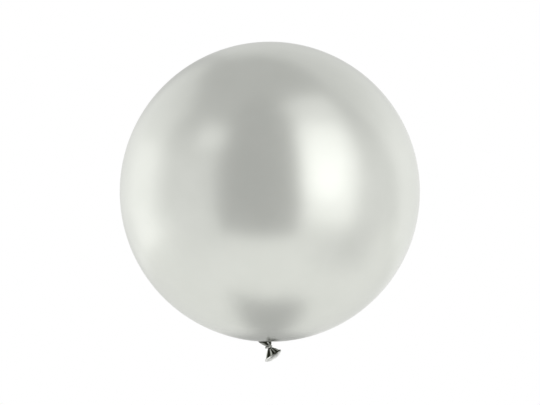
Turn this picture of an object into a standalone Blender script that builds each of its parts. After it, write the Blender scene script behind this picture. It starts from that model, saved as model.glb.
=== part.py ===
"""A 60 cm round latex party balloon, blown up and tied off.

The ball is a turned shell. Below it the rubber gathers into a pleated neck, goes through the
turns of the knot, and opens out again as a short pleated tail that ends in the rolled mouth bead.
Metres, +Z up, origin at the centre of the ball. The front of the balloon faces -Y.
"""

import math

import bmesh
import bpy
from mathutils import Vector

# Sizes of the ball.
BALL_RADIUS = 0.300
BALL_WALL = 0.010
CROWN_FLAT_RADIUS = 0.006
THROAT_RADIUS = 0.0015
TURN_STEPS = 60
OUTER_ARC_STEPS = 36
INNER_ARC_STEPS = 14

# Clearance left between two pieces that touch.
SEAT_GAP = 0.0003

# The knot: its middle, the way the rubber runs through it, and its turns.
KNOT_CENTRE = Vector((-0.0016, 0.0, -0.3094))
KNOT_AXIS = Vector((0.56, 0.0, -0.83)).normalized()
CORE_RADIUS = 0.0040
CORE_HALF_LENGTH = 0.0040
CORE_WAIST = 0.0004
CORE_POINTS_AROUND = 32
CORE_SHARES = (0.0, 0.25, 0.5, 0.75, 1.0)
WRAP_STRAND_RADIUS = 0.00135
WRAP_TURNS = 2.0
WRAP_PITCH = 0.0029
WRAP_START_DEG = 90.0
WRAP_POINTS_PER_TURN = 20
WRAP_TAPER_POINTS = 6
WRAP_TIP_SHARE = 0.4

# The gathered neck: an oval foot on the ball, a wide shoulder under it, and the cinch.
NECK_FOOT_CENTRE_X = -0.0105
NECK_FOOT_HALF_WIDTH = 0.0132
NECK_FOOT_HALF_DEPTH = 0.0105
NECK_SHOULDER_CENTRE = Vector((-0.0042, 0.0, -0.3052))
NECK_SHOULDER_AXIS = Vector((0.22, 0.0, -0.975)).normalized()
NECK_SHOULDER_HALF_WIDTH = 0.0106
NECK_SHOULDER_HALF_DEPTH = 0.0080
NECK_PLEATS = 9
NECK_PLEAT_DEPTH = 0.30
NECK_POINTS_AROUND = 72
NECK_FOOT_SHARES = (0.3, 0.65)
NECK_SIDE_SHARES = (0.0, 0.1, 0.25, 0.4, 0.55, 0.7, 0.85, 1.0)

# The tail: its root at the knot, the shoulder that it flares to, and its mouth, which leans
# to the right and towards the front.
TAIL_ROOT_RADIUS = 0.0034
TAIL_SHOULDER_CENTRE = Vector((0.0016, -0.0012, -0.3160))
TAIL_SHOULDER_AXIS = Vector((0.413, 0.0, -0.911)).normalized()
TAIL_SHOULDER_HALF_WIDTH = 0.0104
TAIL_SHOULDER_HALF_DEPTH = 0.0064
TAIL_EDGE_BACK = 0.0023
TAIL_WALL = 0.0008
TAIL_PLEATS = 8
TAIL_PLEAT_DEPTH = 0.36
TAIL_POINTS_AROUND = 64
TAIL_SHARES = (0.0, 0.12, 0.27, 0.45, 0.63, 0.82, 1.0)
MOUTH_CENTRE = Vector((0.0070, -0.0090, -0.3273))
MOUTH_AXIS = Vector((0.463, -0.574, -0.676)).normalized()
MOUTH_LONG_AXIS = Vector((0.819, -0.025, 0.574)).normalized()
MOUTH_HALF_WIDTH = 0.0173
MOUTH_HALF_DEPTH = 0.0058
MOUTH_BOW = 0.0044
BEAD_RADIUS = 0.0017
BEAD_POINTS = 44

# Finish of each piece: colour, roughness and metallic value.
PEARL_SILVER = ((0.72, 0.735, 0.70), 0.30, 1.0)
SLACK_SILVER = ((0.50, 0.51, 0.47), 0.22, 1.0)
BEAD_SILVER = ((0.78, 0.79, 0.76), 0.25, 1.0)


def clear_scene():
    for obj in list(bpy.data.objects):
        bpy.data.objects.remove(obj)


def make_collection(name):
    collection = bpy.data.collections.new(name)
    bpy.context.scene.collection.children.link(collection)
    return collection


def make_finish(name, finish):
    colour, roughness, metallic = finish
    material = bpy.data.materials.new(name)
    material.use_nodes = True
    shader = material.node_tree.nodes["Principled BSDF"]
    shader.inputs["Base Color"].default_value = (*colour, 1.0)
    shader.inputs["Roughness"].default_value = roughness
    shader.inputs["Metallic"].default_value = metallic
    return material


def add_object(name, data, collection, material):
    """Links an object that holds this mesh or curve, with its finish."""
    obj = bpy.data.objects.new(name, data)
    collection.objects.link(obj)
    data.materials.append(material)
    return obj


def mix(start, end, share):
    return start + (end - start) * share


def ring_frame(axis):
    """Two unit directions square to an axis: to the right, and towards the back."""
    across = axis.cross(Vector((0.0, 1.0, 0.0))).normalized()
    return across, across.cross(axis).normalized()


def angles(count):
    """Even angles around a ring, starting at the side that faces +X."""
    return [2.0 * math.pi * k / count for k in range(count)]


def loft(name, rings, capped):
    """A mesh down through rings with the same number of points, closed at both ends if capped.
    Each ring runs from +X to +Y, so that the faces point outwards."""
    shape = bmesh.new()
    rows = [[shape.verts.new(point) for point in ring] for ring in rings]
    count = len(rings[0])
    for upper, lower in zip(rows, rows[1:]):
        for k in range(count):
            following = (k + 1) % count
            shape.faces.new((lower[k], lower[following], upper[following], upper[k]))
    if capped:
        shape.faces.new(rows[0])
        shape.faces.new(list(reversed(rows[-1])))
    mesh = bpy.data.meshes.new(name)
    shape.to_mesh(mesh)
    shape.free()
    mesh.shade_smooth()
    return mesh


def tube_curve(name, points, radius, cyclic, bevel_resolution):
    """A round tube along a polyline, with its ends filled where it is open. Each point gives a
    place and the share of the radius there."""
    curve = bpy.data.curves.new(name, "CURVE")
    curve.dimensions = "3D"
    curve.bevel_depth = radius
    curve.bevel_resolution = bevel_resolution
    curve.use_fill_caps = not cyclic
    spline = curve.splines.new("POLY")
    spline.points.add(len(points) - 1)
    for target, (place, share) in zip(spline.points, points):
        target.co = (*place, 1.0)
        target.radius = share
    spline.use_cyclic_u = cyclic
    return curve


def arc_points(radius, start_deg, end_deg, steps):
    """Points (distance from the axis, height) on a circle, by angle from the top."""
    turns = [math.radians(mix(start_deg, end_deg, k / steps)) for k in range(steps + 1)]
    return [(radius * math.sin(turn), radius * math.cos(turn)) for turn in turns]


def build_envelope(collection, material):
    """The ball: a turned shell with a small flat at the crown and the throat at its foot."""
    inner_radius = BALL_RADIUS - BALL_WALL
    crown_deg = math.degrees(math.asin(CROWN_FLAT_RADIUS / BALL_RADIUS))
    outer_throat_deg = 180.0 - math.degrees(math.asin(THROAT_RADIUS / BALL_RADIUS))
    inner_throat_deg = 180.0 - math.degrees(math.asin(THROAT_RADIUS / inner_radius))
    outer = arc_points(BALL_RADIUS, crown_deg, outer_throat_deg, OUTER_ARC_STEPS)
    inner = arc_points(inner_radius, inner_throat_deg, 0.0, INNER_ARC_STEPS)
    profile = [(0.0, outer[0][1])] + outer + inner
    profile[-1] = (0.0, inner_radius)
    mesh = bpy.data.meshes.new("envelope")
    points = [(across, 0.0, height) for across, height in profile]
    mesh.from_pydata(points, [(k, k + 1) for k in range(len(points) - 1)], [])
    envelope = add_object("envelope", mesh, collection, material)
    turned = envelope.modifiers.new("turned", "SCREW")
    turned.steps = TURN_STEPS
    turned.render_steps = TURN_STEPS
    turned.use_merge_vertices = True
    turned.merge_threshold = 0.00001
    turned.use_smooth_shade = True


def on_ball(x, y):
    """The point just under the ball's skin, straight below this x and y."""
    clear_radius = BALL_RADIUS + SEAT_GAP
    return Vector((x, y, -math.sqrt(clear_radius**2 - x * x - y * y)))


def neck_foot(turn, share):
    """A point of the oval foot, or of a smaller oval inside it."""
    x = NECK_FOOT_CENTRE_X + share * NECK_FOOT_HALF_WIDTH * math.cos(turn)
    return on_ball(x, share * NECK_FOOT_HALF_DEPTH * math.sin(turn))


def oval_point(centre, axis, turn, half_width, half_depth):
    """A point of an oval that lies square to an axis."""
    across, depth = ring_frame(axis)
    return centre + across * half_width * math.cos(turn) + depth * half_depth * math.sin(turn)


def knot_point(turn, along, radius):
    """A point of a circle round the knot's axis, at a distance along it from the knot's middle."""
    return oval_point(KNOT_CENTRE + KNOT_AXIS * along, KNOT_AXIS, turn, radius, radius)


def bend(start, control, end, share):
    """A point of the curve that leaves start towards the control point and swings to the end."""
    return mix(mix(start, control, share), mix(control, end, share), share)


def pleated(point, middle, depth, pleats, turn):
    """The point drawn in towards the middle by up to this share, in even pleats round the ring."""
    return mix(point, middle, depth * (0.5 - 0.5 * math.cos(pleats * turn)))


def neck_side(turn, share):
    """A point of the neck's pleated side, from its foot (share 0) to the cinch (share 1)."""
    cinch_along = -CORE_HALF_LENGTH - SEAT_GAP
    shoulder = oval_point(
        NECK_SHOULDER_CENTRE,
        NECK_SHOULDER_AXIS,
        turn,
        NECK_SHOULDER_HALF_WIDTH,
        NECK_SHOULDER_HALF_DEPTH,
    )
    point = bend(neck_foot(turn, 1.0), shoulder, knot_point(turn, cinch_along, CORE_RADIUS), share)
    middle = mix(neck_foot(turn, 0.0), knot_point(turn, cinch_along, 0.0), share)
    depth = NECK_PLEAT_DEPTH * math.sin(math.pi * share)
    return pleated(point, middle, depth, NECK_PLEATS, turn)


def build_neck(collection, material):
    """The gathered neck: an oval foot that lies under the ball, and pleats that run to the cinch."""
    turns = angles(NECK_POINTS_AROUND)
    rings = [[neck_foot(turn, share) for turn in turns] for share in NECK_FOOT_SHARES]
    rings += [[neck_side(turn, share) for turn in turns] for share in NECK_SIDE_SHARES]
    add_object("neck_gather", loft("neck_gather", rings, True), collection, material)


def build_core(collection, material):
    """The stretched rubber that the knot's turns close on, round and slightly waisted."""
    turns = angles(CORE_POINTS_AROUND)
    rings = []
    for share in CORE_SHARES:
        along = mix(-CORE_HALF_LENGTH, CORE_HALF_LENGTH, share)
        radius = CORE_RADIUS - SEAT_GAP - CORE_WAIST * math.sin(math.pi * share)
        rings.append([knot_point(turn, along, radius) for turn in turns])
    add_object("knot_core", loft("knot_core", rings, True), collection, material)


def build_wrap(collection, material):
    """The turns of the knot: one strand wound round the core, its ends tucked in at the back."""
    steps = round(WRAP_TURNS * WRAP_POINTS_PER_TURN)
    points = []
    for k in range(steps + 1):
        turn = math.radians(WRAP_START_DEG) + 2.0 * math.pi * k / WRAP_POINTS_PER_TURN
        along = WRAP_PITCH * WRAP_TURNS * (k / steps - 0.5)
        from_end = min(k, steps - k, WRAP_TAPER_POINTS) / WRAP_TAPER_POINTS
        share = mix(WRAP_TIP_SHARE, 1.0, from_end)
        radius = CORE_RADIUS + WRAP_STRAND_RADIUS * share
        points.append((knot_point(turn, along, radius), share))
    strand = tube_curve("knot_wrap", points, WRAP_STRAND_RADIUS, False, 2)
    add_object("knot_wrap", strand, collection, material)


def mouth_point(turn, back):
    """A point of the mouth's oval, at a distance back from it. The oval bows towards the back,
    so that its front edge is nearly straight."""
    short_axis = MOUTH_LONG_AXIS.cross(MOUTH_AXIS).normalized()
    width = MOUTH_LONG_AXIS * MOUTH_HALF_WIDTH * math.cos(turn)
    depth = MOUTH_HALF_DEPTH * math.sin(turn) + MOUTH_BOW * math.sin(turn) ** 2
    return MOUTH_CENTRE - MOUTH_AXIS * back + width + short_axis * depth


def tail_side(turn, share):
    """A point of the tail's pleated side, from the knot (share 0) to the mouth (share 1)."""
    root_along = CORE_HALF_LENGTH + SEAT_GAP
    shoulder = oval_point(
        TAIL_SHOULDER_CENTRE,
        TAIL_SHOULDER_AXIS,
        turn,
        TAIL_SHOULDER_HALF_WIDTH,
        TAIL_SHOULDER_HALF_DEPTH,
    )
    root = knot_point(turn, root_along, TAIL_ROOT_RADIUS)
    point = bend(root, shoulder, mouth_point(turn, TAIL_EDGE_BACK), share)
    mouth_back = mouth_point(0.5 * math.pi, TAIL_EDGE_BACK)
    mouth_front = mouth_point(-0.5 * math.pi, TAIL_EDGE_BACK)
    middle = mix(knot_point(turn, root_along, 0.0), mix(mouth_back, mouth_front, 0.5), share)
    depth = TAIL_PLEAT_DEPTH * math.sin(math.pi * share)
    return pleated(point, middle, depth, TAIL_PLEATS, turn)


def build_tail(collection, material):
    """The slack end of the neck past the knot: an open pleated skirt with a thin wall."""
    turns = angles(TAIL_POINTS_AROUND)
    rings = [[tail_side(turn, share) for turn in turns] for share in TAIL_SHARES]
    tail = add_object("tail_skirt", loft("tail_skirt", rings, False), collection, material)
    wall = tail.modifiers.new("wall", "SOLIDIFY")
    wall.thickness = TAIL_WALL
    wall.offset = -1.0


def build_bead(collection, material):
    """The rolled edge of the mouth, an oval ring."""
    turns = angles(BEAD_POINTS)
    points = [(mouth_point(turn, 0.0), 1.0) for turn in turns]
    bead = tube_curve("mouth_bead", points, BEAD_RADIUS, True, 3)
    add_object("mouth_bead", bead, collection, material)


def main():
    clear_scene()
    balloon = make_collection("party_balloon")
    pearl = make_finish("pearl_latex", PEARL_SILVER)
    slack = make_finish("slack_latex", SLACK_SILVER)
    rolled = make_finish("rolled_latex", BEAD_SILVER)
    build_envelope(balloon, pearl)
    build_neck(balloon, slack)
    build_core(balloon, slack)
    build_wrap(balloon, slack)
    build_tail(balloon, slack)
    build_bead(balloon, rolled)


main()
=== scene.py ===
# The finished look of a 60 cm round party balloon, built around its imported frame:
# a satin pearl ball, a pleated neck, the knot, and a flared tail with a rolled lip.
# Metres, +Z up, the origin at the centre of the ball. The front faces -Y.

import math

import bpy
import numpy as np
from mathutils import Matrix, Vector


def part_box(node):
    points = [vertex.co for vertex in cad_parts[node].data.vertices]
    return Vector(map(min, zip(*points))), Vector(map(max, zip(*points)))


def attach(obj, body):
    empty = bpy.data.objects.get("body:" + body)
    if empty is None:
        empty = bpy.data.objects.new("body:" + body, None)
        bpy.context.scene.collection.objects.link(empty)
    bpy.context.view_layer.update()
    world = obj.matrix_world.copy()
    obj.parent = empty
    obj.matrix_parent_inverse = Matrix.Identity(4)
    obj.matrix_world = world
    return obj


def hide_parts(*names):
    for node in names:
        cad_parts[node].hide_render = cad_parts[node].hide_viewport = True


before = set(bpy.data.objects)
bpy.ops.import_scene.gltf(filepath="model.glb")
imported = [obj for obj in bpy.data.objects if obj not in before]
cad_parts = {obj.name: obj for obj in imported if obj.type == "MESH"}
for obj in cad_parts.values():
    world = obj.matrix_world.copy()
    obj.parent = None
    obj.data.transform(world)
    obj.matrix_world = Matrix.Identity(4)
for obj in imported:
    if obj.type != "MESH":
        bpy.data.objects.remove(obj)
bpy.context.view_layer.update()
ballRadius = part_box("envelope")[1].z
print("frame loaded with", len(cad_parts), "nodes, ball radius", round(ballRadius, 4))


# Small helpers for arrays of points.

def unit(vectors):
    return vectors / np.linalg.norm(vectors, axis=-1, keepdims=True)


def mix(start, end, share):
    return start + (end - start) * share


def smoothStep(values, low, high):
    # 0 below low, 1 above high, and an S-shaped rise between them.
    share = np.clip((values - low) / (high - low), 0.0, 1.0)
    return share * share * (3.0 - 2.0 * share)


def onceRound(columns):
    # Angles once round a piece, as a row.
    return 2.0 * np.pi * np.arange(columns)[None] / columns


def topToEnd(rows):
    # Shares of the way down a piece, as a column.
    return np.linspace(0.0, 1.0, rows)[:, None]


def bezier(share, *corners):
    # A Bezier curve, the sum of choose(order, k) * (1 - share)^(order - k) * share^k * corner k.
    order = len(corners) - 1
    return sum(math.comb(order, k) * (1.0 - share) ** (order - k) * share ** k * corner
               for k, corner in enumerate(corners))


def ridges(phase, sharpness=0.8):
    # Folds along a phase in radians: 1 on a rounded ridge, 0 in the sharp valley at each 2 pi.
    return np.abs(np.sin(0.5 * phase)) ** sharpness


def creases(turn, share, count, slant, wander, waves):
    # Fine folds round a piece, at the phase count * turn + slant * share + wander * sin(waves * turn).
    return ridges(count * turn + slant * share + wander * np.sin(waves * turn))


def foldPhase(turn, valleyDegs):
    # 2 pi for each fold round a piece, with a valley at each of these angles.
    atDegs = [valleyDegs[-1] - 360.0, *valleyDegs, valleyDegs[0] + 360.0]
    phases = 2.0 * np.pi * np.arange(len(atDegs))
    return np.interp(np.mod(turn, 2.0 * np.pi), np.radians(atDegs), phases)


def shadePatch(turn, middleDeg, reachDeg, shadeStrength):
    # Painted shade that darkens a piece round one angle, by its strength * exp(-(angle from it /
    # reach)^4).
    away = np.mod(np.degrees(turn) - middleDeg + 180.0, 360.0) - 180.0
    return shadeStrength * np.exp(-(away / reachDeg) ** 4)


def axisFrame(axis):
    # Two unit directions square to an axis that runs down: to the right, and to the back.
    right = unit(np.cross(axis, (0.0, 1.0, 0.0)))
    return right, unit(np.cross(right, axis))


def ovalPoints(centre, axis, turn, halfWidth, halfDepth):
    # Centre + right * halfWidth * cos(turn) + back * halfDepth * sin(turn).
    right, back = axisFrame(axis)
    wide = np.asarray(halfWidth * np.cos(turn))[..., None]
    deep = np.asarray(halfDepth * np.sin(turn))[..., None]
    return centre + right * wide + back * deep


def cornerPairs(across, down):
    # A texture point for each corner of each face.
    return np.stack(np.broadcast_arrays(across, down), axis=-1).reshape(-1, 2)


def gridPiece(name, points, fold, ends=None):
    # A closed band of quads through rows of points. A row runs round the piece from +X to +Y
    # and the rows run down it, so that the faces point outwards. The first and the last row
    # are drawn to the two ends, or joined to each other where there are none. The texture
    # runs once round the piece and once down it, and fold is kept for the material.
    rows, columns = points.shape[:2]
    index = np.arange(rows * columns).reshape(rows, columns)
    if ends is None:
        index = np.concatenate([index, index[:1]])
    following = np.roll(index, -1, axis=1)
    quads = np.stack([index[1:], following[1:], following[:-1], index[:-1]], axis=-1)
    left = np.arange(columns) / columns
    right = left + 1.0 / columns
    top = np.arange(len(quads)) / len(quads)
    bottom = top + 1.0 / len(quads)
    across = np.stack([left, right, right, left], axis=-1)
    down = np.stack([bottom, bottom, top, top], axis=-1)[:, None]
    vertices = points.reshape(-1, 3)
    faces = quads.reshape(-1, 4).tolist()
    pairs = cornerPairs(across, down)
    folds = np.broadcast_to(fold, (rows, columns))
    values = folds.ravel()
    if ends is not None:
        vertices = np.vstack([vertices, *ends])
        values = np.append(values, [folds[0].mean(), folds[-1].mean()])
        middle = 0.5 * (left + right)
        fans = ((index[0], following[0], left, right, 0.0),
                (following[-1], index[-1], right, left, 1.0))
        for number, (ring, ringNext, start, startNext, depth) in enumerate(fans):
            point = np.full(columns, rows * columns + number)
            faces += np.stack([point, ring, ringNext], axis=-1).tolist()
            fan = cornerPairs(np.stack([middle, start, startNext], axis=-1), depth)
            pairs = np.vstack([pairs, fan])
    mesh = bpy.data.meshes.new(name)
    mesh.from_pydata(vertices, [], faces)
    mesh.shade_smooth()
    layer = mesh.uv_layers.new(name="flow")
    layer.uv.foreach_set("vector", pairs.astype(np.float32).ravel())
    attribute = mesh.attributes.new("fold", "FLOAT", "POINT")
    attribute.data.foreach_set("value", values.astype(np.float32))
    piece = bpy.data.objects.new(name, mesh)
    bpy.context.scene.collection.objects.link(piece)
    return piece


def finishPiece(piece, material, slot, *nodes):
    # Gives a piece its material, and lets it stand for its CAD nodes.
    piece.data.materials.append(material)
    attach(piece, "root")
    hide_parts(*nodes)
    print("made", piece.name, "with", len(piece.data.polygons), "faces")
    return piece


# Small helpers for materials.

white = (1.0, 1.0, 1.0)
black = (0.0, 0.0, 0.0)


def opaque(colour):
    return (*colour, 1.0)


def newMaterial(name):
    material = bpy.data.materials.new(name)
    material.use_nodes = True
    tree = material.node_tree
    return material, tree, tree.nodes["Principled BSDF"]


def feed(tree, socket, value):
    # Links another socket to this one, or gives it a plain value.
    if isinstance(value, bpy.types.NodeSocket):
        tree.links.new(value, socket)
    else:
        socket.default_value = value


def feedNamed(tree, node, **inputs):
    for key, value in inputs.items():
        feed(tree, node.inputs[key.replace("_", " ")], value)


def addNode(tree, kind, label, settings=None, **inputs):
    # A labelled node, with its settings, and the values or sockets of its named inputs.
    node = tree.nodes.new(kind)
    node.label = label
    for key, value in (settings or {}).items():
        setattr(node, key, value)
    feedNamed(tree, node, **inputs)
    return node


def attributeNode(tree, label, attribute):
    node = addNode(tree, "ShaderNodeAttribute", label, {"attribute_name": attribute})
    return node.outputs["Fac"]


def rangeNode(tree, label, source, fromRange, toRange=(0.0, 1.0), kind="LINEAR"):
    # Turns the values of a source that lie in one range into those of another.
    node = addNode(tree, "ShaderNodeMapRange", label, {"interpolation_type": kind}, Value=source,
                   From_Min=fromRange[0], From_Max=fromRange[1], To_Min=toRange[0], To_Max=toRange[1])
    return node.outputs["Result"]


def mathNode(tree, label, operation, first, second):
    node = addNode(tree, "ShaderNodeMath", label, {"operation": operation})
    feed(tree, node.inputs[0], first)
    feed(tree, node.inputs[1], second)
    return node.outputs[0]


def numberMix(tree, label, share, first, second):
    # A number between two others. Each may be a number or a socket.
    node = addNode(tree, "ShaderNodeMix", label, A=first, B=second)
    tree.links.new(share, node.inputs[0])
    return node.outputs[0]


def colourMix(tree, label, share, first, second):
    # A colour between two others. Each may be an opaque colour or a socket. The colours are
    # the seventh and the eighth input of this node, and the mixed one is its third output.
    node = addNode(tree, "ShaderNodeMix", label, {"data_type": "RGBA"})
    tree.links.new(share, node.inputs[0])
    feed(tree, node.inputs[6], first)
    feed(tree, node.inputs[7], second)
    return node.outputs[2]


# The stretched latex of the ball: satin pearl silver with a faint green cast.

pearlLook = {
    "colour": (0.725, 0.740, 0.695),
    "cloudColour": (0.705, 0.721, 0.675),   # the faint clouds in the pigment
    "slackColour": (0.520, 0.530, 0.490),   # where the latex is stretched least
    "roughness": (0.285, 0.315),
    "slackRoughness": 0.15,
    "slackSpread": 0.075,                   # lets the gloss reach further out than the colour
    "edgeTint": (0.85, 0.85, 0.85),         # how bright it stays at grazing angles
    "cloudScale": 14.0,
    "cloudDetail": 3.0,
    "cloudRange": (0.35, 0.65),             # the noise from no cloud to full cloud
    "grainScale": 900.0,
    "grainDetail": 2.0,
    "grainRange": (0.3, 0.7),               # the noise from the first roughness to the second
    "grainHeight": 0.000004,
    "bumpStrength": 0.6,
}


def pearlLatex():
    look = pearlLook
    material, tree, shader = newMaterial("pearlLatex")
    coords = addNode(tree, "ShaderNodeTexCoord", "place on the balloon").outputs["Object"]
    clouds = addNode(tree, "ShaderNodeTexNoise", "pigment clouds", Vector=coords,
                     Scale=look["cloudScale"], Detail=look["cloudDetail"]).outputs["Fac"]
    grain = addNode(tree, "ShaderNodeTexNoise", "pearl grain", Vector=coords,
                    Scale=look["grainScale"], Detail=look["grainDetail"]).outputs["Fac"]
    slack = attributeNode(tree, "slackness", "fold")
    cloudShare = rangeNode(tree, "cloud share", clouds, look["cloudRange"])
    colour = colourMix(tree, "pearl", cloudShare, opaque(look["colour"]), opaque(look["cloudColour"]))
    colour = colourMix(tree, "less stretched", slack, colour, opaque(look["slackColour"]))
    satin = rangeNode(tree, "satin", grain, look["grainRange"], look["roughness"])
    gloss = mathNode(tree, "gloss by the neck", "POWER", slack, look["slackSpread"])
    rough = numberMix(tree, "satin to gloss", gloss, satin, look["slackRoughness"])
    bump = addNode(tree, "ShaderNodeBump", "pearl bump", Height=grain,
                   Strength=look["bumpStrength"], Distance=look["grainHeight"])
    feedNamed(tree, shader, Base_Color=colour, Roughness=rough, Normal=bump.outputs["Normal"],
              Specular_Tint=opaque(look["edgeTint"]), Metallic=1.0)
    return material


# The slack latex of the neck, the knot and the tail: thicker, darker and glossier, light
# along its ridges and nearly black in its folds, where the dark is painted shade. Outside,
# a fold value is the height of the folds, up to 1, lowered further where more shade is
# painted. On the inner side of the tail it runs from 2 at the knot to 3 at the mouth.
# The inner side is matt, darkened by painted shade towards the knot, and pale at the mouth.

slackLook = {
    "ridgeColour": (0.760, 0.770, 0.730),
    # the painted shade in the folds' valleys
    "valleyShadeColour": (0.020, 0.022, 0.013),
    "rimColour": (0.930, 0.935, 0.910),     # inside, at the mouth
    # painted shade deep inside the tail
    "depthShadeColour": (0.120, 0.125, 0.110),   # inside, towards the knot
    "foldRange": (0.30, 0.95),              # the fold values from valley to ridge
    "insideRange": (1.2, 1.8),              # from the outer to the inner side
    "depthRange": (2.78, 2.97),             # from the dark inside to the pale mouth
    "roughness": (0.20, 0.30),
    "streakScale": (60.0, 3.0),             # round the piece, and down it
    "streakDetail": 4.0,
    "streakRange": (0.3, 0.7),              # the noise from the first roughness to the second
    "wrinkleHeight": 0.00008,
    "bumpStrength": 0.5,
}

# The rolled lip is the same rubber, with paler ridges.
rolledLook = {**slackLook, "ridgeColour": (0.900, 0.905, 0.880)}


def slackLatex(name, look):
    material, tree, shader = newMaterial(name)
    flow = addNode(tree, "ShaderNodeUVMap", "along the folds", {"uv_map": "flow"})
    stretch = addNode(tree, "ShaderNodeMapping", "long streaks", Vector=flow.outputs["UV"],
                      Scale=(*look["streakScale"], 1.0))
    streaks = addNode(tree, "ShaderNodeTexNoise", "fine wrinkles", Vector=stretch.outputs["Vector"],
                      Scale=1.0, Detail=look["streakDetail"]).outputs["Fac"]
    fold = attributeNode(tree, "fold height", "fold")
    share = rangeNode(tree, "valley to ridge", fold, look["foldRange"])
    inside = rangeNode(tree, "inner side", fold, look["insideRange"])
    depth = rangeNode(tree, "knot to mouth", fold, look["depthRange"])
    # Painted shade: the folds' valleys go near black, while the ridges keep the rubber's colour.
    outer = colourMix(tree, "folded rubber", share, opaque(look["valleyShadeColour"]),
                      opaque(look["ridgeColour"]))
    # Painted shade inside the tail, dark towards the knot.
    inner = colourMix(tree, "pale at the mouth", depth, opaque(look["depthShadeColour"]),
                      opaque(look["rimColour"]))
    colour = colourMix(tree, "rubber inside", inside, outer, inner)
    rough = rangeNode(tree, "gloss", streaks, look["streakRange"], look["roughness"])
    bump = addNode(tree, "ShaderNodeBump", "wrinkle bump", Height=streaks,
                   Strength=look["bumpStrength"], Distance=look["wrinkleHeight"])
    metallic = rangeNode(tree, "pearly outside", inside, (0.0, 1.0), (1.0, 0.0))
    feedNamed(tree, shader, Base_Color=colour, Roughness=rough, Normal=bump.outputs["Normal"],
              Metallic=metallic)
    return material


# The ball: a full round skin, puckered a little where it is gathered into the neck.

ball = {
    "columns": 288,
    "rows": 176,
    "crowding": 0.7,                # how much closer the rows lie at the crown and the neck
    "neckCentreX": -0.0105,         # where the neck leaves the ball
    "neckHalfWidth": 0.0132,
    "neckHalfDepth": 0.0105,
    "puckers": 14,
    "puckerDepth": 0.00018,
    "puckerFade": 0.45,             # in neck radii, and so is the next one
    "slackReach": 0.45,
}


def neckDirection():
    # From the centre of the ball to where the neck leaves it.
    x = ball["neckCentreX"]
    return np.array([x, 0.0, -math.sqrt(ballRadius ** 2 - x * x)]) / ballRadius


def makeBall(material):
    # Polar angle from the crown: pi * (share - crowding * sin(2 pi share) / (2 pi)).
    # A point: radius * (-cos(polar) * neck + sin(polar) * (right * cos(turn) + back * sin(turn))),
    # less the pucker depth, which fades with the distance from the neck's oval foot.
    share = (np.arange(1, ball["rows"]) / ball["rows"])[:, None]
    turn = onceRound(ball["columns"])
    polar = np.pi * (share - ball["crowding"] * np.sin(2.0 * np.pi * share) / (2.0 * np.pi))
    down = neckDirection()
    right, back = axisFrame(down)
    ring = right * np.cos(turn)[..., None] + back * np.sin(turn)[..., None]
    direction = -down * np.cos(polar)[..., None] + ring * np.sin(polar)[..., None]
    halfWidth, halfDepth = ball["neckHalfWidth"], ball["neckHalfDepth"]
    footRadius = halfWidth * halfDepth / np.hypot(halfDepth * np.cos(turn), halfWidth * np.sin(turn))
    pastFoot = np.clip(ballRadius * (np.pi - polar) / footRadius - 1.0, 0.0, None)
    fade = np.exp(-pastFoot / ball["puckerFade"])
    pucker = ball["puckerDepth"] * fade * (1.0 - ridges(ball["puckers"] * turn))
    points = direction * (ballRadius - pucker)[..., None]
    slack = np.exp(-pastFoot / ball["slackReach"])
    piece = gridPiece("ball_skin", points, slack, (-down * ballRadius, down * ballRadius))
    return finishPiece(piece, material, "pearl_latex", "envelope")


# The knot's own line, which the neck, the turns and the tail are built from.

knot = {
    "centre": np.array([-0.0012, 0.0, -0.3106]),
    "axis": unit(np.array([0.40, 0.0, -0.917])),
}


def knotPoints(turn, along, radius, toRight=0.0):
    # A circle round the knot's axis, at a distance along it from the knot's middle and a
    # little to the right of it.
    centre = knot["centre"] + axisFrame(knot["axis"])[0] * toRight
    centre = centre + knot["axis"] * np.asarray(along)[..., None]
    return ovalPoints(centre, knot["axis"], turn, radius, radius)


# The neck: the ball's skin gathered into pleats that run down to the knot. On the left
# it bulges out under the ball, and in front one pleat flows straight out of the skin.

neck = {
    "columns": 432,
    "rows": 130,
    "topInside": 0.001,             # how far up inside the ball it is closed
    "footReach": 1.12,              # the skirt of the neck on the ball, in foot radii
    "footDepth": 0.00025,           # how far its rim lies under the ball's skin
    "bulgeCentre": np.array([-0.0115, 0.0, -0.3011]),
    "bulgeAxis": np.array([0.0, 0.0, -1.0]),
    "bulgeHalfWidth": 0.0156,
    "bulgeHalfDepth": 0.0108,
    "shoulderCentre": np.array([-0.0036, 0.0, -0.3066]),
    "shoulderAxis": unit(np.array([0.236, 0.0, -0.972])),
    "shoulderHalfWidth": 0.0092,
    "shoulderHalfDepth": 0.0082,
    "cinchAlong": -0.0028,          # from the knot's middle, along its axis
    "cinchRadius": 0.0042,
    "endAlong": -0.0040,            # where it is closed inside the knot
    "valleyFootDegs": (8, 48, 95, 138, 178, 278, 320),
    "valleyCinchDegs": (8, 48, 95, 138, 178, 276, 316),
    "pleatDepth": 0.30,
    "pleatSharpness": 0.9,
    "deepening": (0.02, 0.40),      # where on the way down the pleats grow to their depth
    "easing": (0.6, 1.0),           # where they grow shallower again
    "easeShare": 0.4,               # by this share
    "creases": (26, 2.0, 0.8, 3.0),     # count, slant, wander and waves
    "creaseShare": 0.26,
    "valleyCreases": 0.4,           # how much of the creases is left in the valleys
    "openPleatDeg": 299.0,          # the pleat that flows out of the ball's skin
    "openPleatEdge": (0.75, 0.95),  # cosines of the angles from it, at its edge
    # Beside it, painted shade darkens the folds at the top, where they tuck under the ball.
    "tuckRange": (0.25, 0.50),      # beside it the folds are dark at the top, and lighten here
    "underBallShadeStrength": 0.9,
    "lightness": 0.68,
    "contrast": 1.5,
}


def neckFoot(turn, reach, radius):
    # Points of a sphere of this radius, straight below an oval that is this many times as
    # large as the foot of the neck.
    x = ball["neckCentreX"] + reach * ball["neckHalfWidth"] * np.cos(turn)
    y = reach * ball["neckHalfDepth"] * np.sin(turn)
    return np.stack([x, y, -np.sqrt(radius ** 2 - x * x - y * y)], axis=-1)


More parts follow.
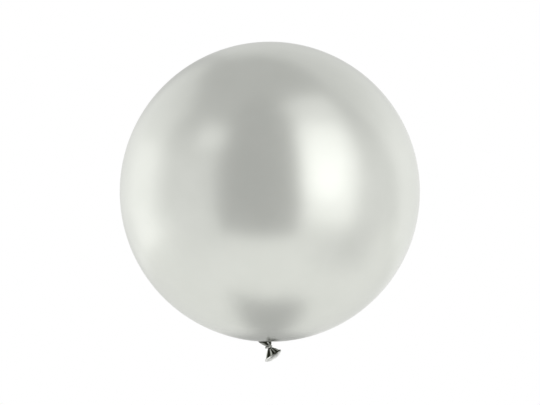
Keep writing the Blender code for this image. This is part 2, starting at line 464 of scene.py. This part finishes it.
def makeNeck(material):
    # Each side line is a Bezier curve of the fourth order: rim under the skin, foot, bulge,
    # shoulder, cinch. It is drawn in towards the neck's middle line by
    # pleatDepth * (1 - fold height), less at the foot and at the knot.
    share = topToEnd(neck["rows"])
    turn = onceRound(neck["columns"])
    rim = neckFoot(turn, neck["footReach"], ballRadius - neck["footDepth"])
    foot = neckFoot(turn, 1.0, ballRadius)
    bulge = ovalPoints(neck["bulgeCentre"], neck["bulgeAxis"], turn,
                       neck["bulgeHalfWidth"], neck["bulgeHalfDepth"])
    shoulder = ovalPoints(neck["shoulderCentre"], neck["shoulderAxis"], turn,
                          neck["shoulderHalfWidth"], neck["shoulderHalfDepth"])
    cinch = knotPoints(turn, neck["cinchAlong"], neck["cinchRadius"])
    outer = bezier(share[..., None], rim, foot, bulge, shoulder, cinch)
    footMiddle = neckFoot(np.zeros(1), 0.0, ballRadius)[0]
    endMiddle = knot["centre"] + knot["axis"] * neck["endAlong"]
    middle = mix(footMiddle, endMiddle, share[..., None])
    atFoot = foldPhase(turn, neck["valleyFootDegs"])
    atCinch = foldPhase(turn, neck["valleyCinchDegs"])
    main = ridges(mix(atFoot, atCinch, share), neck["pleatSharpness"])
    fine = creases(turn, share, *neck["creases"])
    height = mix(main, fine, neck["creaseShare"] * mix(neck["valleyCreases"], 1.0, main))
    depth = neck["pleatDepth"] * smoothStep(share, *neck["deepening"])
    depth = depth * (1.0 - neck["easeShare"] * smoothStep(share, *neck["easing"]))
    points = mix(outer, middle, (depth * (1.0 - height))[..., None])
    # The fold value below is painted shade: dark in the pleats' valleys, and darker at the top of the
    # folds tucked under the ball beside the open pleat.
    toOpenPleat = np.cos(turn - np.radians(neck["openPleatDeg"]))
    closed = 1.0 - smoothStep(toOpenPleat, *neck["openPleatEdge"])
    underBallShade = closed * (1.0 - smoothStep(share, *neck["tuckRange"]))
    shade = neck["lightness"] * height ** neck["contrast"] * (1.0 - neck["underBallShadeStrength"] * underBallShade)
    top = footMiddle + [0.0, 0.0, neck["topInside"]]
    piece = gridPiece("neck_folds", points, shade, (top, endMiddle))
    return finishPiece(piece, material, "slack_latex", "neck_gather")


# The knot: a waisted heart of stretched rubber, and the strand that is wound round it.

heart = {
    "columns": 160,
    "rows": 40,
    "radius": 0.0050,
    "toRight": -0.0009,             # it fills the turns, which lie a little to the left
    "top": -0.0042,                 # along the knot's axis, from the knot's middle
    "bottom": 0.0016,
    "waist": 0.0003,
    "roundFrom": 0.75,              # from here down it is rounded off
    "endShare": 0.5,                # what is left of its radius at the bottom
    "creases": (15, 1.4, 0.7, 2.0),     # count, slant, wander and waves
    "creaseDepth": 0.08,
    "lightness": 0.4,
}


def makeHeart(material):
    # Radius along the axis: radius - waist * sin(pi share), less the depth of the creases. Its
    # end is rounded by sqrt(1 - (1 - endShare squared) * (how far down the rounding) squared).
    share = topToEnd(heart["rows"])
    turn = onceRound(heart["columns"])
    height = creases(turn, share, *heart["creases"])
    radius = heart["radius"] - heart["waist"] * np.sin(np.pi * share)
    radius = radius * (1.0 - heart["creaseDepth"] * (1.0 - height))
    down = np.clip((share - heart["roundFrom"]) / (1.0 - heart["roundFrom"]), 0.0, 1.0)
    radius = radius * np.sqrt(1.0 - (1.0 - heart["endShare"] ** 2) * down ** 2)
    along = mix(heart["top"], heart["bottom"], share)
    points = knotPoints(turn, along, radius, heart["toRight"])
    ends = (points[0].mean(axis=0), points[-1].mean(axis=0))
    # Its fold value is painted shade, darker in the creases.
    piece = gridPiece("knot_heart", points, heart["lightness"] * height, ends)
    return finishPiece(piece, material, "slack_latex", "knot_core")


strand = {
    "centre": np.array([-0.0031, 0.0, -0.3090]),
    "turns": 2.0,
    "pitch": 0.0035,
    "startDeg": 90.0,
    "pathRadius": 0.0058,
    "overlap": 0.0008,              # how far the second turn rides over the first
    "overlapRange": (0.35, 0.65),   # where the first turn becomes the second
    "lean": (0.0011, -0.0002),      # how far the two turns slant across the knot
    "leanRange": (0.38, 0.60),
    "rows": 280,
    "columns": 72,
    "halfThick": 0.00150,
    "halfWide": 0.00172,
    "grooves": 7,
    "grooveDepth": 0.13,
    "grooveTwist": 5.0,
    "swell": (0.08, 3.0, 0.8),      # how much, how many times a turn, and from what phase
    "tipShare": 0.4,
    "taper": 0.15,                  # share of the strand that thins towards each end
    # Painted shade: dark where the strand presses on the heart, and in its grooves.
    "contactShade": (-0.15, 0.85),        # cosines from dark, where it presses on the heart, to light
    "grooveShade": (0.36, 0.90),    # in the grooves, and on the ridges between them
    "unevenLight": (0.9, 0.2, 2.0, 6.0),    # middle, swing, how many times a turn, and drift
}


def makeStrand(material):
    # A helix round the heart: turn = start + 2 pi turns share, along = pitch * turns * (share - 0.5),
    # plus each turn's lean * cos(turn), and the second turn lies over the first.
    # Its section is an oval, wider along the knot than it is thick, with grooves that twist.
    share = topToEnd(strand["rows"])
    around = onceRound(strand["columns"])
    turn = math.radians(strand["startDeg"]) + 2.0 * np.pi * strand["turns"] * share
    along = strand["pitch"] * strand["turns"] * (share - 0.5)
    along = along + mix(*strand["lean"], smoothStep(share, *strand["leanRange"])) * np.cos(turn)
    toTip = np.minimum(share, 1.0 - share)
    size = mix(strand["tipShare"], 1.0, smoothStep(toTip, 0.0, strand["taper"]))
    swell, swellTimes, swellPhase = strand["swell"]
    size = size * (1.0 + swell * np.sin(swellTimes * turn + swellPhase))
    right, back = axisFrame(knot["axis"])
    outward = right * np.cos(turn)[..., None] + back * np.sin(turn)[..., None]
    radius = strand["pathRadius"] - strand["halfThick"] * (1.0 - size)
    radius = radius + strand["overlap"] * (smoothStep(share, *strand["overlapRange"]) - 0.5)
    path = strand["centre"] + knot["axis"] * along[..., None] + outward * radius[..., None]
    tangent = unit(np.gradient(path[:, 0], axis=0))[:, None]
    side = unit(np.cross(tangent, outward))
    height = ridges(strand["grooves"] * around + strand["grooveTwist"] * share)
    grooved = size * (1.0 - strand["grooveDepth"] * (1.0 - height))
    points = (path + outward * (grooved * strand["halfThick"] * np.cos(around))[..., None]
              + side * (grooved * strand["halfWide"] * np.sin(around))[..., None])
    ends = (points[0].mean(axis=0), points[-1].mean(axis=0))
    level, swing, times, drift = strand["unevenLight"]
    uneven = level + swing * np.sin(times * turn + drift * share)
    # Painted shade where the strand presses on the heart, and in its grooves.
    contactShade = smoothStep(np.cos(around), *strand["contactShade"])
    shade = contactShade * mix(*strand["grooveShade"], height) * uneven
    # Each section is read backwards, so that the faces point outwards.
    piece = gridPiece("knot_strand", points[:, ::-1], shade[:, ::-1], ends)
    return finishPiece(piece, material, "slack_latex", "knot_wrap")


# The tail: the slack end of the neck, a thin pleated skirt, and the rolled lip at its mouth.

mouth = {
    "centre": np.array([0.0064, -0.0060, -0.3272]),
    "toRight": np.array([0.0148, 0.0050, 0.0101]),      # from the centre to its right end
    "toFar": unit(np.array([0.346, 0.819, -0.458])),    # the way to its far side
    "halfDepth": 0.0073,
    "bow": 0.0053,
}
mouth["axis"] = unit(np.cross(mouth["toFar"], mouth["toRight"]))

tail = {
    "columns": 384,
    "rows": 100,
    "innerRows": 60,
    "rootAlong": 0.0008,            # from the knot's middle, along its axis
    "rootRadius": 0.0020,
    "shoulderCentre": np.array([0.0044, 0.0010, -0.3170]),
    "shoulderAxis": unit(np.array([0.312, 0.0, -0.950])),
    "shoulderHalfWidth": 0.0140,
    "shoulderHalfDepth": 0.0068,
    "edgeInset": 0.0007,            # the lip is rolled outwards, so the skirt meets its inner side
    "farInset": 0.0003,             # more of that on the far side, and less on the near side
    "edgeAhead": 0.0003,
    "wall": 0.0004,
    "valleyKnotDegs": (48, 92, 136, 180, 240, 276, 298, 350),
    "valleyMouthDegs": (42, 86, 130, 172, 231, 285, 304, 350),
    "pleatDepth": 0.44,
    "pleatSharpness": 1.2,
    "endDepth": 0.25,               # how deep the pleats are at both ends, next to the middle
    "depthCurve": 0.8,
    "easing": (0.72, 1.02),         # where they flatten out towards the lip
    "creases": (21, 1.2, 1.8, 2.0),     # count, slant, wander and waves
    "creaseShare": 0.22,
    "valleyCreases": 0.3,           # how much of the creases is left in the valleys
    "contrast": 2.7,
    # painted shade on the tail's right side, towards the back
    "shadePatch": (10.0, 55.0, 0.35),    # middle and reach in degrees, and how much darker
    "insideFold": (2.0, 3.0),       # marks the inner side for the material, from knot to mouth
}

lip = {
    "columns": 320,
    "around": 48,
    "radius": 0.0014,
    "rollStep": 0.00020,            # the free edge of the rolled sheet
    "lumps": 0.05,                  # share of the radius that goes where it is thinnest
    "lumpWaves": ((5.0, 1.0), (9.0, 0.0)),      # how many round the oval, and from what phase
    "lightness": 1.0,
    # painted shade on the near lip's right part and at its left end
    "shadePatches": ((309.0, 54.0, 0.71), (155.0, 40.0, 0.26)),      # as in the tail
}


def mouthRing(turn):
    # An oval that bows towards the back, so that its front edge is nearly straight, and the
    # outward direction at each of its points.
    wide, alongWide = np.cos(turn)[..., None], -np.sin(turn)[..., None]
    deep = (mouth["halfDepth"] * np.sin(turn) + mouth["bow"] * np.sin(turn) ** 2)[..., None]
    alongDeep = (mouth["halfDepth"] * np.cos(turn) + mouth["bow"] * np.sin(2.0 * turn))[..., None]
    path = mouth["centre"] + mouth["toRight"] * wide + mouth["toFar"] * deep
    tangent = unit(mouth["toRight"] * alongWide + mouth["toFar"] * alongDeep)
    return path, unit(np.cross(mouth["axis"], tangent))


def makeTail(material):
    # Each side line is a quadratic Bezier curve: knot, shoulder, mouth. It is drawn in
    # towards the tail's middle line by pleatDepth * (1 - fold height), less at both ends.
    # The inner side is the outer one less the wall along its normal.
    share = topToEnd(tail["rows"])
    turn = onceRound(tail["columns"])
    root = knotPoints(turn, tail["rootAlong"], tail["rootRadius"])
    shoulder = ovalPoints(tail["shoulderCentre"], tail["shoulderAxis"], turn,
                          tail["shoulderHalfWidth"], tail["shoulderHalfDepth"])
    path, outward = mouthRing(turn)
    inset = (tail["edgeInset"] + tail["farInset"] * np.sin(turn))[..., None]
    edge = path - outward * inset + mouth["axis"] * tail["edgeAhead"]
    outer = bezier(share[..., None], root, shoulder, edge)
    rootMiddle = knot["centre"] + knot["axis"] * tail["rootAlong"]
    mouthMiddle = mouth["centre"] + mouth["toFar"] * mouth["bow"]
    middle = mix(rootMiddle, mouthMiddle, share[..., None])
    atKnot = foldPhase(turn, tail["valleyKnotDegs"])
    atMouth = foldPhase(turn, tail["valleyMouthDegs"])
    main = ridges(mix(atKnot, atMouth, share), tail["pleatSharpness"])
    fine = creases(turn, share, *tail["creases"])
    height = mix(main, fine, tail["creaseShare"] * mix(tail["valleyCreases"], 1.0, main))
    depth = mix(tail["endDepth"], 1.0, np.sin(np.pi * share) ** tail["depthCurve"])
    depth = tail["pleatDepth"] * depth * (1.0 - smoothStep(share, *tail["easing"]))
    skin = mix(outer, middle, (depth * (1.0 - height))[..., None])
    across = np.roll(skin, -1, axis=1) - np.roll(skin, 1, axis=1)
    normal = unit(np.cross(np.gradient(skin, axis=0), across))
    keep = np.linspace(0, tail["rows"] - 1, tail["innerRows"]).astype(int)
    inside = (skin - normal * tail["wall"])[::-1][keep]
    points = np.concatenate([skin, inside])
    # The fold value is painted shade: dark in the pleats' valleys and over a patch on the right, towards
    # the back.
    shade = height ** tail["contrast"] * (1.0 - shadePatch(turn, *tail["shadePatch"]))
    inner = np.broadcast_to(mix(*tail["insideFold"], share[::-1][keep]), inside.shape[:2])
    piece = gridPiece("tail_skirt_folds", points, np.concatenate([shade, inner]))
    return finishPiece(piece, material, "slack_latex", "tail_skirt")


def makeLip(material):
    # A round section carried along the mouth's oval. Its radius grows by rollStep round the
    # section and drops back at the free edge, as on a sheet that is rolled up. Waves along
    # the oval make it a little lumpy: radius * (1 - lumps * (0.5 + 0.25 * the sum of the waves)).
    turn = onceRound(lip["columns"]).T
    around = onceRound(lip["around"])
    path, outward = mouthRing(turn)
    waves = sum(np.sin(count * turn + phase) for count, phase in lip["lumpWaves"])
    roll = 1.0 - lip["rollStep"] / lip["radius"] * (1.0 - around / (2.0 * np.pi))
    radius = lip["radius"] * (1.0 - lip["lumps"] * (0.5 + 0.25 * waves)) * roll
    points = (path + outward * (radius * np.cos(around))[..., None]
              + mouth["axis"] * (radius * np.sin(around))[..., None])
    # Painted shade darkens the lip on its near right part and at its left end.
    shade = lip["lightness"] - sum(shadePatch(turn, *patch) for patch in lip["shadePatches"])
    # Each section is read backwards, so that the faces point outwards.
    piece = gridPiece("lip_roll", points[:, ::-1], shade)
    return finishPiece(piece, material, "rolled_latex", "mouth_bead")


# The studio: a white background, a pale floor, and soft boxes that the camera doesn't see.
# A fitting program matched a model of the ball's gloss to the shades on the ball in the
# photograph. It gave the front, back and top levels of the room, the levels and most of the
# outlines of the floor's shades, the dim card, and the soft boxes apart from their distances.

studio = {
    "floorHeight": -0.90,
    "floorRadius": 5.0,
    "floorCorners": 96,
    "floorFade": 2.2,               # from this far out the floor melts into the background
    "floorColour": (0.88, 0.88, 0.87),
    "floorRoughness": 0.9,
    "floorGlow": 0.385,
    "shadeStep": 0.001,             # how far each shade of the floor lies over the one before
    "background": 1.0,
    "roomFront": 0.861,
    "roomBack": 0.938,
    "roomBackHigh": 0.62,           # straight behind, over the horizon
    "roomTop": 0.594,
    "behindRange": (-0.3, 0.9),     # how far back a direction points, from front to back
    "straightRange": (0.78, 0.96),  # and from the sides to straight behind
    "highRange": (0.21, 0.35),      # how far up it points, from the horizon to over it
    "topRange": (0.2, 0.9),         # and from the sides to the top
}

# Greyer stretches of the floor, with soft edges, which only show in the ball: a runner
# under it and behind it, and one to each side. Each row of an outline is the distance behind
# the ball's centre, the left edge and the right edge, and soft is the reach of the soft edge.
floorShades = {
    "runner": {
        "glow": 0.566,
        "soft": 0.118,
        "outline": ((-0.212, -0.315, 0.315), (0.22, -0.202, 0.202), (0.47, -0.105, 0.105),
                    (1.30, -0.266, 0.266), (4.0, -0.266, 0.266)),
    },
    "rightShade": {
        "glow": 0.796,
        "soft": 0.397,
        "outline": ((-1.028, 0.727, 4.0), (-0.049, 0.727, 4.0)),
    },
    "leftShade": {
        "glow": 0.881,
        "soft": 0.804,
        "outline": ((-2.137, -4.0, -0.798), (-0.337, -4.0, -0.798)),
    },
}

# A tall dim card between the camera and the balloon, which only shows in the ball.
dimCard = {
    "ahead": 1.409,
    "left": -1.040,
    "right": 0.534,
    "top": 3.324,
    "glow": 0.528,
}

# Soft boxes round the ball, which they face. The azimuth is 0 at the camera and 90 to the
# right, and the level is the brightness next to the white background.
softBoxes = {
    "keyBox": {"azimuthDeg": 44.1, "elevationDeg": 19.6, "distance": 1.9,
               "width": 1.54, "height": 3.89, "level": 0.342},
    "keyHeart": {"azimuthDeg": 30.0, "elevationDeg": 18.0, "distance": 1.85,
                 "width": 1.79, "height": 1.76, "level": 0.294},
    "leftWall": {"azimuthDeg": -101.9, "elevationDeg": -1.9, "distance": 2.0,
                 "width": 1.60, "height": 1.88, "level": 0.126},
    "leftLamp": {"azimuthDeg": -45.3, "elevationDeg": 33.7, "distance": 1.8,
                 "width": 0.62, "height": 0.50, "level": 0.300},
    "leftBack": {"azimuthDeg": -120.0, "elevationDeg": 9.5, "distance": 2.0,
                 "width": 2.19, "height": 3.87, "level": 0.188},
    "rightBack": {"azimuthDeg": 146.8, "elevationDeg": 21.1, "distance": 2.0,
                  "width": 3.41, "height": 4.53, "level": 0.192},
}


def makeWorld():
    # Plain white to the camera. To everything else it is a room with a level in front, a
    # level behind, a level over that and a level overhead, told apart by the direction that
    # is looked in.
    world = bpy.data.worlds.new("room")
    bpy.context.scene.world = world
    world.use_nodes = True
    tree = world.node_tree
    direction = addNode(tree, "ShaderNodeTexCoord", "direction").outputs["Generated"]
    parts = addNode(tree, "ShaderNodeSeparateXYZ", "direction parts", Vector=direction).outputs
    behind = rangeNode(tree, "behind", parts["Y"], studio["behindRange"], kind="SMOOTHSTEP")
    straight = rangeNode(tree, "straight behind", parts["Y"], studio["straightRange"], kind="SMOOTHSTEP")
    high = rangeNode(tree, "over the horizon", parts["Z"], studio["highRange"], kind="SMOOTHSTEP")
    above = rangeNode(tree, "above", parts["Z"], studio["topRange"], kind="SMOOTHSTEP")
    upper = mathNode(tree, "behind and high", "MULTIPLY", straight, high)
    sides = numberMix(tree, "front to back", behind, studio["roomFront"], studio["roomBack"])
    wall = numberMix(tree, "dimmer high up", upper, sides, studio["roomBackHigh"])
    room = numberMix(tree, "sides to top", above, wall, studio["roomTop"])
    seen = addNode(tree, "ShaderNodeLightPath", "seen by the camera").outputs["Is Camera Ray"]
    level = numberMix(tree, "white to the camera", seen, room, studio["background"])
    feedNamed(tree, tree.nodes["Background"], Color=opaque(white), Strength=level)


def fadeOut(tree, shader, gone):
    # Lets a stretch of the floor melt away, where gone is 1 and towards the floor's rim.
    coords = addNode(tree, "ShaderNodeTexCoord", "place on the floor").outputs["Object"]
    distance = addNode(tree, "ShaderNodeVectorMath", "distance", {"operation": "LENGTH"}, Vector=coords)
    far = rangeNode(tree, "rim", distance.outputs["Value"],
                    (studio["floorFade"], studio["floorRadius"]), kind="SMOOTHSTEP")
    hidden = mathNode(tree, "not shown", "MAXIMUM", far, gone)
    clear = addNode(tree, "ShaderNodeBsdfTransparent", "clear")
    blend = addNode(tree, "ShaderNodeMixShader", "shown or gone")
    for number, source in enumerate((hidden, shader.outputs[0], clear.outputs[0])):
        tree.links.new(source, blend.inputs[number])
    tree.links.new(blend.outputs[0], tree.nodes["Material Output"].inputs["Surface"])


def makeFloor():
    # A pale disc. It melts into the background towards its rim, and shows from above only,
    # so that the knot can be looked at from below.
    turn = onceRound(studio["floorCorners"])[0]
    rim = np.stack([np.cos(turn), np.sin(turn), 0.0 * turn], axis=-1) * studio["floorRadius"]
    mesh = bpy.data.meshes.new("floor")
    mesh.from_pydata(rim + [0.0, 0.0, studio["floorHeight"]], [], [list(range(len(rim)))])
    floor = bpy.data.objects.new("floor", mesh)
    bpy.context.scene.collection.objects.link(floor)
    material, tree, shader = newMaterial("paleFloor")
    feedNamed(tree, shader, Base_Color=opaque(studio["floorColour"]), Roughness=studio["floorRoughness"],
              Emission_Color=opaque(white), Emission_Strength=studio["floorGlow"])
    fadeOut(tree, shader, addNode(tree, "ShaderNodeNewGeometry", "side").outputs["Backfacing"])
    mesh.materials.append(material)


def makeCard(name, points, glow, shown=None):
    # A glowing card through a grid of points, which only shows in the ball. With shown, its
    # points go from 0 (gone) to 1.
    rows, columns = points.shape[:2]
    index = np.arange(rows * columns).reshape(rows, columns)
    quads = np.stack([index[:-1, :-1], index[:-1, 1:], index[1:, 1:], index[1:, :-1]], axis=-1)
    mesh = bpy.data.meshes.new(name)
    mesh.from_pydata(points.reshape(-1, 3), [], quads.reshape(-1, 4).tolist())
    card = bpy.data.objects.new(name, mesh)
    bpy.context.scene.collection.objects.link(card)
    material, tree, shader = newMaterial(name)
    feedNamed(tree, shader, Base_Color=opaque(black), Specular_IOR_Level=0.0,
              Emission_Color=opaque(white), Emission_Strength=glow)
    if shown is not None:
        mesh.attributes.new("shown", "FLOAT", "POINT").data.foreach_set("value", shown.ravel())
        softEdge = attributeNode(tree, "soft edge", "shown")
        gone = rangeNode(tree, "gone", softEdge, (0.0, 1.0), (1.0, 0.0), "SMOOTHSTEP")
        fadeOut(tree, shader, gone)
    mesh.materials.append(material)
    card.visible_camera = False
    card.visible_diffuse = False
    card.visible_shadow = False


def makeFloorShade(name, number, glow, soft, outline):
    # Rows from front to back, each with its soft left edge and its soft right edge.
    behind, left, right = np.array(outline).T
    y = np.concatenate([behind[0] + [-soft, soft], behind[1:-1], behind[-1] + [-soft, soft]])
    low, high = np.interp(y, behind, left), np.interp(y, behind, right)
    x = np.stack([low - soft, low + soft, high - soft, high + soft], axis=-1)
    level = studio["floorHeight"] + studio["shadeStep"] * (number + 1)
    points = np.stack([x, np.broadcast_to(y[:, None], x.shape), np.full(x.shape, level)], axis=-1)
    shown = np.zeros(x.shape, np.float32)
    shown[1:-1, 1:-1] = 1.0
    makeCard(name, points, glow, shown)


def makeCards():
    for number, (name, shade) in enumerate(floorShades.items()):
        makeFloorShade(name, number, **shade)
    left, right, y = dimCard["left"], dimCard["right"], -dimCard["ahead"]
    foot, top = studio["floorHeight"], dimCard["top"]
    corners = np.array([[(left, y, foot), (right, y, foot)], [(left, y, top), (right, y, top)]])
    makeCard("dimCard", corners, dimCard["glow"])


def makeSoftBoxes(pieces):
    # An area light of P watts shines P / (pi * area) in each direction. The boxes light the
    # balloon alone, so that the floor stays even.
    balloon = bpy.data.collections.new("balloon")
    for piece in pieces:
        balloon.objects.link(piece)
    for name, box in softBoxes.items():
        light = bpy.data.lights.new(name, "AREA")
        light.shape = "RECTANGLE"
        light.size = box["width"]
        light.size_y = box["height"]
        light.energy = box["level"] * math.pi * box["width"] * box["height"]
        lamp = bpy.data.objects.new(name, light)
        bpy.context.scene.collection.objects.link(lamp)
        turn, rise = math.radians(box["azimuthDeg"]), math.radians(box["elevationDeg"])
        flat = math.cos(rise)
        away = Vector((math.sin(turn) * flat, -math.cos(turn) * flat, math.sin(rise)))
        lamp.location = away * box["distance"]
        lamp.rotation_euler = away.to_track_quat("Z", "Y").to_euler()
        lamp.visible_camera = False
        lamp.light_linking.receiver_collection = balloon


# The photograph's viewpoint: nearly level with the ball, looking up a little.

view = {
    "elevationDeg": -2.5,
    "distance": 3.0,
    "lens": 99.59,
    "sensor": 36.0,
    "aim": Vector((0.00032, 0.0, -0.02133)),    # the point in the middle of the picture
}


def makeCamera():
    data = bpy.data.cameras.new("camera")
    data.lens = view["lens"]
    data.sensor_width = view["sensor"]
    camera = bpy.data.objects.new("camera", data)
    bpy.context.scene.collection.objects.link(camera)
    rise = math.radians(view["elevationDeg"])
    camera.location = Vector((0.0, -math.cos(rise), math.sin(rise))) * view["distance"]
    camera.rotation_euler = (view["aim"] - camera.location).to_track_quat("-Z", "Y").to_euler()
    bpy.context.scene.camera = camera
    bpy.context.scene.view_settings.view_transform = "Standard"


makeCamera()
makeWorld()
makeFloor()
makeCards()
print("studio made")

pearl = pearlLatex()
slack = slackLatex("slackLatex", slackLook)
rolled = slackLatex("rolledLatex", rolledLook)
pieces = [makeBall(pearl), makeNeck(slack), makeHeart(slack), makeStrand(slack), makeTail(slack),
          makeLip(rolled)]
makeSoftBoxes(pieces)
print("lights made")
